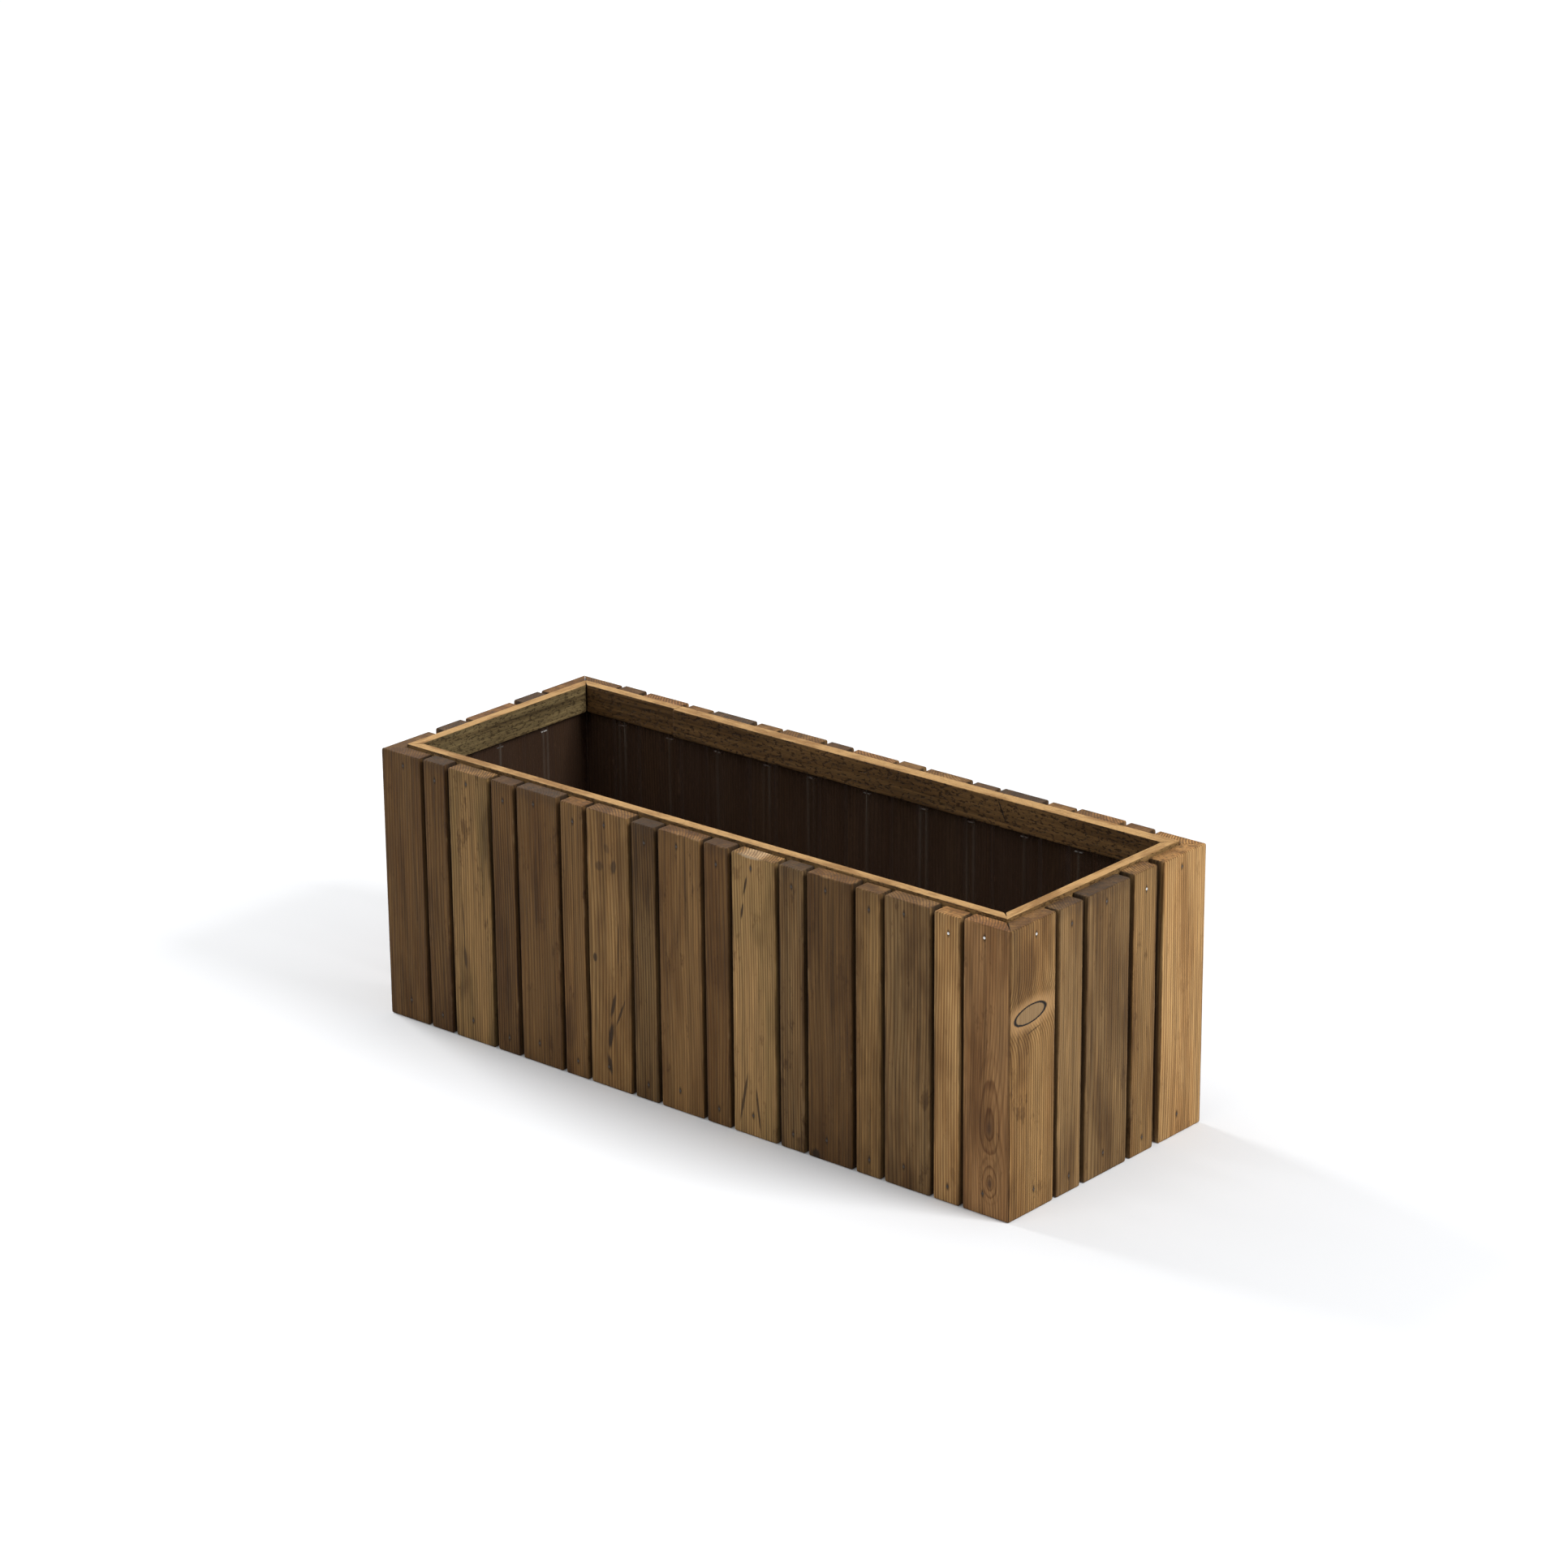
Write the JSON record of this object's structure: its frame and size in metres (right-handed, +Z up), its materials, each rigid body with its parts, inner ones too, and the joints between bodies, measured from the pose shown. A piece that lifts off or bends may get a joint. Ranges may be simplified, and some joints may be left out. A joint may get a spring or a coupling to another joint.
{
  "type": "planter box",
  "caption": "Long open softwood planter box: upright slats, wide and narrow in turn, nailed round mitred rail frames, with base boards and a stapled film liner.",
  "frame": {"origin": "on the floor, under the middle of the box", "axes": "X along the box, the front with its narrow and wide slats faces -Y, +Z up to the open top"},
  "size_m": [0.8, 0.3, 0.29],
  "materials": {
    "slat_wood": "sawn, brown preservative, weathered",
    "rail_wood": "sawn, brown preservative, clean top edges",
    "base_wood": "sawn, untreated",
    "liner_film": "thin dark translucent film",
    "nail_steel": "bright, some dulled",
    "staple_steel": "bright galvanised wire"
  },
  "bodies": {
    "root": {"front_slat_01": "slat_wood", "front_slat_02": "slat_wood", "front_slat_03": "slat_wood", "front_slat_04": "slat_wood", "front_slat_05": "slat_wood", "front_slat_06": "slat_wood", "front_slat_07": "slat_wood", "front_slat_08": "slat_wood", "front_slat_09": "slat_wood", "front_slat_10": "slat_wood", "front_slat_11": "slat_wood", "front_slat_12": "slat_wood", "front_slat_13": "slat_wood", "front_slat_14": "slat_wood", "front_slat_15": "slat_wood", "front_slat_16": "slat_wood", "front_slat_17": "slat_wood", "right_slat_01": "slat_wood", "right_slat_02": "slat_wood", "right_slat_03": "slat_wood", "right_slat_04": "slat_wood", "right_slat_05": "slat_wood", "back_slat_01": "slat_wood", "back_slat_02": "slat_wood", "back_slat_03": "slat_wood", "back_slat_04": "slat_wood", "back_slat_05": "slat_wood", "back_slat_06": "slat_wood", "back_slat_07": "slat_wood", "back_slat_08": "slat_wood", "back_slat_09": "slat_wood", "back_slat_10": "slat_wood", "back_slat_11": "slat_wood", "back_slat_12": "slat_wood", "back_slat_13": "slat_wood", "back_slat_14": "slat_wood", "back_slat_15": "slat_wood", "back_slat_16": "slat_wood", "back_slat_17": "slat_wood", "left_slat_01": "slat_wood", "left_slat_02": "slat_wood", "left_slat_03": "slat_wood", "left_slat_04": "slat_wood", "left_slat_05": "slat_wood", "bottom_rail_front": "rail_wood", "bottom_rail_right": "rail_wood", "bottom_rail_back": "rail_wood", "bottom_rail_left": "rail_wood", "top_rail_front": "rail_wood", "top_rail_right": "rail_wood", "top_rail_left": "rail_wood", "top_rail_back_long": "rail_wood", "top_rail_back_short": "rail_wood", "base_board_1": "base_wood", "base_board_2": "base_wood", "base_board_3": "base_wood", "base_bearer": "base_wood", "film_liner": "liner_film", "brad_nails": "nail_steel", "staples": "staple_steel"}
  },
  "joints": []
}
